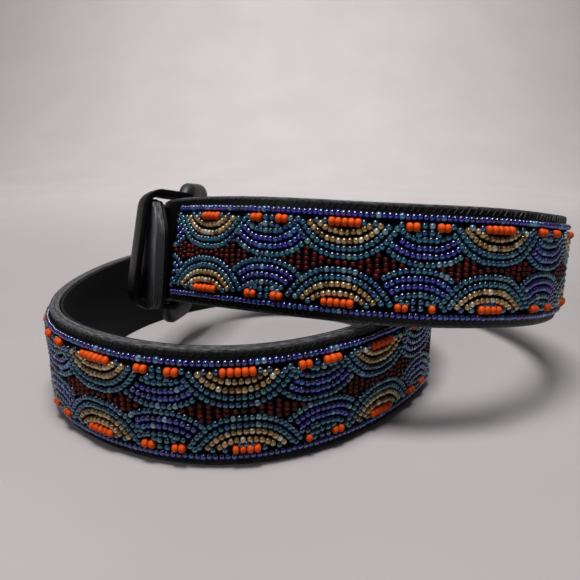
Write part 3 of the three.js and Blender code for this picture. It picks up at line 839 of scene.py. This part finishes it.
def make_prong(metal):
    """The eye round the heel bar and the arm that goes through the billet's hole and over the end bar."""
    eye_middle = BAR_DIAMETER / 2 + BAR_CLEARANCE + EYE_WALL / 2
    prong = start(bpy.ops.mesh.primitive_torus_add, major_radius=eye_middle, minor_radius=EYE_WALL / 2,
                  major_segments=24, minor_segments=10)
    prong.name = "buckle_prong_black"
    prong.scale = (1, 1, EYE_LENGTH / EYE_WALL)
    bpy.ops.object.transform_apply(location=False, rotation=False, scale=True)
    over_billet = BILLET_OFFSET - BAR_OFFSET + STRAP_THICK / 2 + PIECE_GAP + PRONG_DIAMETER / 2
    over_end = END_BAR_OUT - BAR_OFFSET + FRAME_BAR_THICK / 2 + PIECE_GAP + PRONG_DIAMETER / 2
    rows = [(3.1, 1.5, 0), (5.9, over_billet / 2, 0), (END_BAR_AFT * 0.42, over_billet, 0),
            (END_BAR_AFT * 0.75, (over_billet + over_end) / 2, 0), (END_BAR_AFT + 5, over_end, 0)]
    arm = start(bpy.ops.mesh.primitive_cylinder_add, vertices=12, radius=1, depth=1)
    for share in np.arange(-0.5, 0.5, 1 / 16)[1:]:
        cut(arm, (0, 0, share), (0, 0, 1))
    modify(arm, "BEVEL", width=0.02, segments=2, limit_method="ANGLE", angle_limit=math.radians(60))
    flat = points_of(arm)
    share = flat[:, 2] + 0.5
    middle = smooth_curve(rows, share)
    ahead = unit(smooth_curve(rows, share + 0.01) - smooth_curve(rows, share - 0.01) + 1e-9)
    aside = np.cross(UPRIGHT, ahead)
    radius = PRONG_DIAMETER / 2
    set_points(arm, middle + aside * flat[:, :1] * radius + UPRIGHT * flat[:, 1:2] * radius)
    face_outward(arm)
    modify(prong, "BOOLEAN", operation="UNION", object=arm, solver="EXACT")
    bpy.data.objects.remove(arm)
    set_points(prong, buckle_place(points_of(prong)))
    face_outward(prong)
    return finish(prong, metal, ["buckle_prong"], sharp=50)


# Beads

BEAD_RADIUS = 1.06
BEAD_PITCH = 1.86
BEAD_GAP = 0.08                   # between beads on one thread
BEAD_ROUNDING = 0.6               # how far a bead's rims are rounded
HAND = 0.05                       # how far a hand lays beads off their line
SWELL = 0.035                     # how far beads differ in size, as a share
PALE_SHARE = 0.07                 # share of the beads whose glass is much paler
ORANGE_RADIUS = 1.45
ORANGE_PITCH = 2.12
ORANGE_CLEAR = 1.3                # half the room that an orange bead needs beside others
CROWDING = 0.76                   # how near beads may come, as a share of touching
FIELD_LOW = 4.1                   # height of the middle of the lower border row
FIRST_ROW = 2.7                   # from a border row to the row beside it
ORANGE_ROW = 2.8                  # and to the orange beads
ROW_CLEAR = 1.5                   # a blue disc's rows stop this far outside its gold neighbours
ROW_BEND = 2.7                    # power of the rows' fall towards the border

# Half-discs of nested rows: colour, depth below the border at the middle, and half the row's width where it
# comes up to the first row's level.
GOLD_DISC = [("gold", 5.9, 8.9), ("gold", 8.8, 12.0), ("teal", 11.2, 14.5), ("teal", 13.7, 17.3)]
BLUE_DISC = [("teal", 7.1, 9.8), ("navy", 9.8, 12.4), ("navy", 12.3, 15.5), ("teal", 14.9, 18.2)]

# Places across and below the border of the four teal beads in the heart of a blue disc
BLUE_HEART = [(-1.2, 2.6), (1.2, 2.6), (-1.2, 4.8), (1.2, 4.8)]

# Middles of some half-discs along the belt at its upper and lower edge, read from the pattern, by the disc's
# number. Odd ones are gold, even ones blue, and the ones between are spaced evenly.
DISC_CHART = [(1, 53.2, 53.0), (2, 79.7, 79.0), (3, 105.8, 104.3), (4, 132.0, 129.3), (5, 156.0, 153.4),
              (6, 181.5, 179.0), (22, 604.5, 605.5), (23, 629.0, 629.5), (24, 652.1, 653.0),
              (25, 676.0, 678.0), (26, 701.5, 703.5), (27, 727.5, 728.5)]

# Orange beads by the disc's number and edge where they differ from five in a gold disc and two pairs in a
# blue one, as places in bead pitches from its middle
ORANGE_PLACES = {"gold": (-2, -1, 0, 1, 2), "blue": (-2.8, -1.8, 1.8, 2.8)}
ORANGE_CHANGES = {(4, -1): (-2.8, -1.8, 2.2), (25, -1): (-1.5, -0.5, 0.5, 1.5), (26, 1): (-3, -2, 1, 2, 3),
                  (26, -1): (-2.8, 1.8, 2.8), (23, 1): (-2.4, -1.4, -0.4, 0.6, 1.6, 2.6),
                  (5, -1): (-1.5, -0.5, 0.5, 1.5), (1, 1): (-1.2, -0.2, 0.8, 1.8),
                  (1, -1): (-1.5, -0.5, 0.5, 1.5, 2.5)}

rng = np.random.default_rng(7)


def make_bead_form(radius, pitch):
    """One bead: a short barrel along x with its rims rounded, of a few dozen faces."""
    form = start(bpy.ops.mesh.primitive_cylinder_add, vertices=10, radius=radius, depth=pitch - BEAD_GAP,
                 rotation=(0, math.pi / 2, 0))
    edit(form, "EDGE", lambda middle, run: abs(run.x) < 0.01)
    bpy.ops.mesh.bevel(offset=BEAD_ROUNDING * pitch / BEAD_PITCH, segments=2, profile=0.5)
    done()
    return small_form(form)


class Field:
    """The beads laid so far, by distance along the belt and height up the strap."""

    def __init__(self):
        self.rows = []
        self.cells = {}

    @staticmethod
    def cell(at, height):
        return int(at // 3), int(height // 3)

    def clear_of(self, at, height, radius):
        column, row = self.cell(at, height)
        for i in (column - 1, column, column + 1):
            for j in (row - 1, row, row + 1):
                for other_at, other_height, other_radius in self.cells.get((i, j), ()):
                    apart = math.hypot(other_at - at, other_height - height)
                    if apart < (radius + other_radius) * CROWDING:
                        return False
        return True

    def add(self, colour, at, height, turn):
        radius = ORANGE_CLEAR if colour == "orange" else BEAD_RADIUS
        inside = PANEL_START + 1 < at < PANEL_END - 1
        if not inside or not self.clear_of(at, height, radius):
            return
        self.cells.setdefault(self.cell(at, height), []).append((at, height, radius))
        self.rows.append((colour, at, height, turn))


def row_depth(x, depth, half_width):
    """Depth of a half-disc's row below the border, at a distance from the disc's middle."""
    return FIRST_ROW + (depth - FIRST_ROW) * (1 - (np.abs(x) / half_width) ** ROW_BEND)


def string_row(field, colour, middle, side, depth, half_width, keep=lambda x, y: True):
    """Strings beads along one row of a half-disc, even along its length."""
    x = np.linspace(-half_width, half_width, 400)
    y = row_depth(x, depth, half_width)
    length = np.append(0, np.cumsum(np.hypot(np.diff(x), np.diff(y))))
    count = int(length[-1] // BEAD_PITCH)
    start = (length[-1] - (count - 1) * BEAD_PITCH) / 2
    for i in range(count):
        here = start + i * BEAD_PITCH + rng.normal(0, HAND)
        bx = np.interp(here, length, x)
        by = np.interp(here, length, y) + rng.normal(0, 0.07)
        slope = (row_depth(bx + 0.1, depth, half_width) - row_depth(bx - 0.1, depth, half_width)) / 0.2
        if keep(bx, by):
            field.add(colour, middle + bx, from_border(by, side), math.atan(slope) * -side)


def from_border(depth, side):
    """Height up the strap at a depth below the upper border row (side 1) or above the lower one (-1)."""
    return STRAP_WIDTH - FIELD_LOW - depth if side > 0 else FIELD_LOW + depth


def disc_middles(side):
    """The half-discs along one edge of the belt: number, kind and distance."""
    numbers, upper, lower = np.array(DISC_CHART, float).T
    chart = upper if side > 0 else lower
    last = int(numbers[-1])
    count = np.arange(last + 2)
    at = np.interp(count, numbers, chart)
    at[0] = 2 * at[1] - at[2]
    at[-1] = 2 * at[-2] - at[-3]
    return [(int(i), "gold" if i % 2 else "blue", middle) for i, middle in zip(count, at)]


def outline_depth(at, discs):
    """How deep the discs' outer rows reach at a distance along the belt."""
    deepest = 0
    for _, kind, middle in discs:
        _, depth, half_width = (GOLD_DISC if kind == "gold" else BLUE_DISC)[-1]
        if abs(at - middle) < half_width:
            deepest = max(deepest, row_depth(at - middle, depth, half_width))
    return deepest


def chart_beads():
    """Charts every bead of the panel, the discs of both edges first and the dark red fill last."""
    field = Field()
    for side in (1, -1):
        height = from_border(0, side)
        for at in np.arange(PANEL_START + 1.5, PANEL_END - 1, BEAD_PITCH):
            field.add("border", at + rng.normal(0, HAND), height + rng.normal(0, HAND), 0)
    discs = {side: disc_middles(side) for side in (1, -1)}
    for side in (1, -1):
        for number, kind, middle in discs[side]:
            lift = rng.normal(0, 0.15)
            for i in ORANGE_CHANGES.get((number, side), ORANGE_PLACES[kind]):
                field.add("orange", middle + i * ORANGE_PITCH, from_border(ORANGE_ROW + lift, side), 0)
        for _, kind, middle in discs[side]:
            if kind == "gold":
                for colour, depth, half_width in GOLD_DISC:
                    string_row(field, colour, middle, side, depth, half_width)
        golds = np.array([middle for _, kind, middle in discs[side] if kind == "gold"])
        _, outer_depth, outer_half = GOLD_DISC[-1]
        for _, kind, middle in discs[side]:
            if kind == "blue":
                def outside(x, y):
                    aside = np.abs(golds - (middle + x)).min()
                    return aside > outer_half or y > row_depth(aside, outer_depth, outer_half) + ROW_CLEAR

                for colour, depth, half_width in BLUE_DISC[::-1]:
                    string_row(field, colour, middle, side, depth, half_width, outside)
                for x, y in BLUE_HEART:
                    field.add("teal", middle + x, from_border(y, side), 0)
        fill_gaps(field, side, discs[side])
    fill_dark_red(field, discs)
    return field.rows


RED_RADIUS = 0.96
RED_COLUMNS = 2.55                # distance between the dark red columns
RED_PITCH = 1.66                  # and between the beads of a column
RED_CLEAR = 1.95                  # from a disc's outer row to the nearest dark red bead
RED_SPARE = 0.35                  # share of a bead's room that a column may lack for one more bead


def fill_dark_red(field, discs):
    """Columns of dark red beads, strung across the belt, in the diamonds that the discs leave."""
    for at in np.arange(PANEL_START + 2, PANEL_END - 1, RED_COLUMNS):
        low = from_border(outline_depth(at, discs[-1]), -1) + RED_CLEAR
        high = from_border(outline_depth(at, discs[1]), 1) - RED_CLEAR
        if high < low - 0.5:
            continue
        count = max(1, int((high - low) / RED_PITCH + 1 + RED_SPARE))
        for i in range(count):
            height = (low + high) / 2 + (i - (count - 1) / 2) * RED_PITCH
            field.add("maroon", at + rng.normal(0, 0.1), height, math.pi / 2)


GAP_STEP = 0.9                    # step at which gaps are looked for


def fill_gaps(field, side, discs):
    """Single teal beads where rows part and one has room."""
    for at in np.arange(PANEL_START + 1.5, PANEL_END - 1, GAP_STEP):
        for depth in np.arange(2.6, outline_depth(at, discs) - 1, GAP_STEP):
            field.add("teal", at, from_border(depth, side), 0)


def bead_seat(height):
    """How far out the middles of the small beads lie: the field is crowned between its long edges."""
    from_edge = np.minimum(height, STRAP_WIDTH - height) - PANEL_MARGIN
    crown = PANEL_CROWN * smoothstep(from_edge, 0, PANEL_SHOULDER)
    return OUTER_FACE + PIECE_GAP + PANEL_THICK - PANEL_CROWN - BEAD_RADIUS + crown


def make_beads(name, rows, material, form, seat, nodes=()):
    """Joins copies of one bead form into a piece, each turned along its row."""
    places, faces = form
    count, corners = len(rows), len(places)
    at = np.array([row[1] for row in rows])
    height = np.array([row[2] for row in rows])
    turn = np.array([row[3] for row in rows]) + rng.normal(0, HAND, count)
    lift = seat + rng.normal(0, HAND, count)
    middle = belt.place(at, bead_seat(height) + lift, height)
    _, out, up, _ = belt.here(at)
    along = np.cross(up, out)
    ahead = along * np.cos(turn)[:, None] + up * np.sin(turn)[:, None]
    aside = np.cross(out, ahead)
    swell = 1 + rng.normal(0, SWELL, count)[:, None]
    grown = places[None] * swell[:, :, None]
    laid = (middle[:, None] + grown[..., :1] * ahead[:, None] + grown[..., 1:2] * aside[:, None]
            + grown[..., 2:] * out[:, None])
    mesh = bpy.data.meshes.new(name)
    mesh.vertices.add(count * corners)
    mesh.vertices.foreach_set("co", world(laid).ravel())
    all_faces = (faces[None] + (np.arange(count) * corners)[:, None, None]).reshape(-1, 3)
    mesh.loops.add(all_faces.size)
    mesh.loops.foreach_set("vertex_index", all_faces.ravel().astype(np.int32))
    mesh.polygons.add(len(all_faces))
    mesh.polygons.foreach_set("loop_start", np.arange(0, all_faces.size, 3, dtype=np.int32))
    mesh.update(calc_edges=True)
    piece = bpy.data.objects.new(name, mesh)
    bpy.context.collection.objects.link(piece)
    tint = np.clip(rng.normal(0.45, 0.2, count) + 0.5 * (rng.random(count) < PALE_SHARE), 0, 1)
    write_attribute(piece, "tint", np.repeat(tint, corners))
    # Painted light: the 'depth' share, one at each bead's bottom and none from a little above its middle,
    # places the painted foot reflection.
    rise = np.einsum("kij,kj->ki", laid - middle[:, None], up)
    low = np.clip(0.5 - rise / (2 * BEAD_RADIUS) - 0.35, 0, 1)
    write_attribute(piece, "depth", smoothstep(low, 0, 0.5).ravel())
    return finish(piece, material, nodes, sharp=60)


def make_bead_pieces():
    rows = chart_beads()
    small = make_bead_form(BEAD_RADIUS, BEAD_PITCH)
    large = make_bead_form(ORANGE_RADIUS, ORANGE_PITCH)
    red = make_bead_form(RED_RADIUS, RED_PITCH)
    # Each finish's second list holds the painted foot tones: a painted reflection of the floor, on the
    # orange a painted shade.
    navy = glass_beads(
        "seed_glass_navy_iris",
        ["#020416", "#030830", "#040a50", "#120850", "#041a54", "#0a3a74", "#50708c"],
        ["#0c2c88", "#1044c4", "#1c3cd8", "#482cc4", "#1278d0", "#3ca8e4", "#b4d4e8"], 0.25, 0.2, 1.0, 1.75)
    teal = glass_beads(
        "seed_glass_teal_iris",
        ["#020622", "#020e2c", "#031834", "#042638", "#041c40", "#0c3440", "#486074"],
        ["#0c4498", "#1064ac", "#187cb4", "#2894a8", "#3494bc", "#60a898", "#a4c0cc"], 0.25, 0.2, 1.0, 1.6)
    gold = glass_beads(
        "seed_glass_gold_lustre",
        ["#2a180a", "#4c3012", "#76552a", "#8a7044", "#827660", "#b8ac98"],
        ["#80542c", "#b48c44", "#dcb870", "#eccc90", "#e0d4bc", "#f8f0e4"], 0.3, 0.4, 1.0, 1.75)
    orange = glass_beads(
        "opaque_glass_orange",
        ["#c44000", "#cc4600", "#d44c02"], ["#b43800", "#bc3e00", "#c84402"], 0.55, 0.0, 0.0, 1.5)
    maroon = glass_beads(
        "matt_glass_dark_red",
        ["#200100", "#300200", "#440402", "#5c0804"], ["#300200", "#460401", "#580602", "#701008"],
        0.4, 0.0, 0.0, 1.5)
    half = STRAP_WIDTH / 2
    parts = [
        (f"beads_{colour}_{edge}", colour, side, material, slot, small, 0)
        for colour, material, slot in (("border", navy, "beads_navy"), ("navy", navy, "beads_navy"),
                                       ("teal", teal, "beads_teal"), ("gold", gold, "beads_gold"))
        for edge, side in (("upper", 1), ("lower", -1))]
    parts += [
        ("beads_dark_red", "maroon", 0, maroon, "beads_maroon", red, RED_RADIUS - BEAD_RADIUS),
        ("beads_orange", "orange", 0, orange, "beads_orange", large, ORANGE_RADIUS - BEAD_RADIUS)]
    for name, colour, side, material, slot, form, seat in parts:
        chosen = [row for row in rows if row[0] == colour and (row[2] - half) * side >= 0]
        make_beads(name, chosen, material, form, seat, ["bead_panel"])


# Stitches

STITCH_PITCH = 2.3
STITCH_LENGTH = 2.4
THREAD_RADIUS = 0.24
STITCH_FROM_EDGE = 1.55
STITCH_SLANT = 0.85
THREAD_SEAT = 0.06 - PIECE_GAP - PANEL_THICK + PANEL_CROWN + BEAD_RADIUS    # on the leather's bare grain


def make_stitches(thread):
    """Overcast stitches that slant across both bare margins."""
    form = start(bpy.ops.mesh.primitive_cylinder_add, vertices=6, radius=THREAD_RADIUS, depth=STITCH_LENGTH,
                 rotation=(math.pi / 2, 0, 0))
    edit(form, "FACE", lambda centre, normal: abs(normal.y) > 0.9)
    bpy.ops.transform.resize(value=(0.6, 1, 0.6))
    done()
    cut(form, (0, 0, 0), (0, 1, 0))
    places, faces = small_form(form)
    turned = places[:, [1, 0, 2]], faces[:, ::-1]
    for name, height, slant in (("stitches_upper", STRAP_WIDTH - STITCH_FROM_EDGE, STITCH_SLANT),
                                ("stitches_lower", STITCH_FROM_EDGE, -STITCH_SLANT)):
        rows = [("thread", at + rng.normal(0, 0.12), height + rng.normal(0, 0.08), slant)
                for at in np.arange(PANEL_START, PANEL_END, STITCH_PITCH)]
        make_beads(name, rows, thread, turned, THREAD_SEAT)


SWEEP_AT = 1.6                    # distance in metres to where the paper turns up
SWEEP_ROUND = 0.8


def make_studio():
    floor = start(bpy.ops.mesh.primitive_plane_add, size=2 * SWEEP_AT)
    floor.name = "studio_floor"
    edit(floor, "EDGE", lambda middle, run: near(middle.y, SWEEP_AT))
    bpy.ops.mesh.extrude_region_move(TRANSFORM_OT_translate={"value": (0, 0, SWEEP_AT)})
    done()
    edit(floor, "EDGE", lambda middle, run: near(middle.y, SWEEP_AT) and near(middle.z, 0))
    bpy.ops.mesh.bevel(offset=SWEEP_ROUND, segments=16, profile=0.5)
    done()
    choose(floor)
    bpy.ops.object.shade_smooth()
    floor.data.materials.append(paper())


def soft_light(name, place, aim, size, watts, colour="#ffffff"):
    data = bpy.data.lights.new(name, "AREA")
    data.shape = "RECTANGLE"
    data.size, data.size_y = size
    data.energy = watts
    data.color = linear(colour)[:3]
    lamp = bpy.data.objects.new(name, data)
    bpy.context.collection.objects.link(lamp)
    lamp.location = place
    lamp.rotation_euler = (Vector(aim) - Vector(place)).to_track_quat("-Z", "Y").to_euler()


def make_lights():
    soft_light("window_above", (-0.05, -0.16, 0.75), (0, 0, 0.04), (0.25, 0.2), 7.0)
    soft_light("far_floor", (0.0, 0.75, 1.0), (0, 0.95, 0), (1.6, 0.5), 2.8)
    soft_light("backdrop_wash", (0.0, 0.5, 0.9), (0, SWEEP_AT, 0.35), (1.2, 0.3), 20.5)
    soft_light("window_left", (-0.5, -0.42, 0.45), (-0.02, -0.02, 0.04), (0.06, 0.2), 0.6)
    sky = bpy.data.worlds.new("studio_air")
    sky.use_nodes = True
    sky.node_tree.nodes["Background"].inputs["Color"].default_value = linear("#f2f1f4")
    sky.node_tree.nodes["Background"].inputs["Strength"].default_value = 0.08
    bpy.context.scene.world = sky
    bpy.context.scene.view_settings.view_transform = "Standard"     # keeps deep blue, red and orange pure


# Camera, fitted from the strap's edges
CAMERA_PLACE = np.array([-8.38, -244.48, 103.6]) * MM
CAMERA_DOWN = math.radians(16.35)
FOCAL_PIXELS = 550
IMAGE_PIXELS = 580
SENSOR = 36


def make_camera():
    data = bpy.data.cameras.new("camera")
    data.sensor_width = SENSOR
    data.sensor_fit = "HORIZONTAL"
    data.lens = SENSOR * FOCAL_PIXELS / IMAGE_PIXELS
    data.clip_start = 0.01
    camera = bpy.data.objects.new("camera", data)
    camera.location = CAMERA_PLACE
    camera.rotation_euler = (math.pi / 2 - CAMERA_DOWN, 0, 0)
    bpy.context.collection.objects.link(camera)
    bpy.context.scene.camera = camera


make_camera()
leather = bridle_leather()
thread = waxed_thread()
metal = lacquered_zinc()
make_strap(leather)
make_lining(lining_leather())
make_bead_ground(wool_felt())
make_keeper(leather)
make_buckle(metal)
make_prong(metal)
make_bead_pieces()
make_stitches(thread)
make_studio()
make_lights()
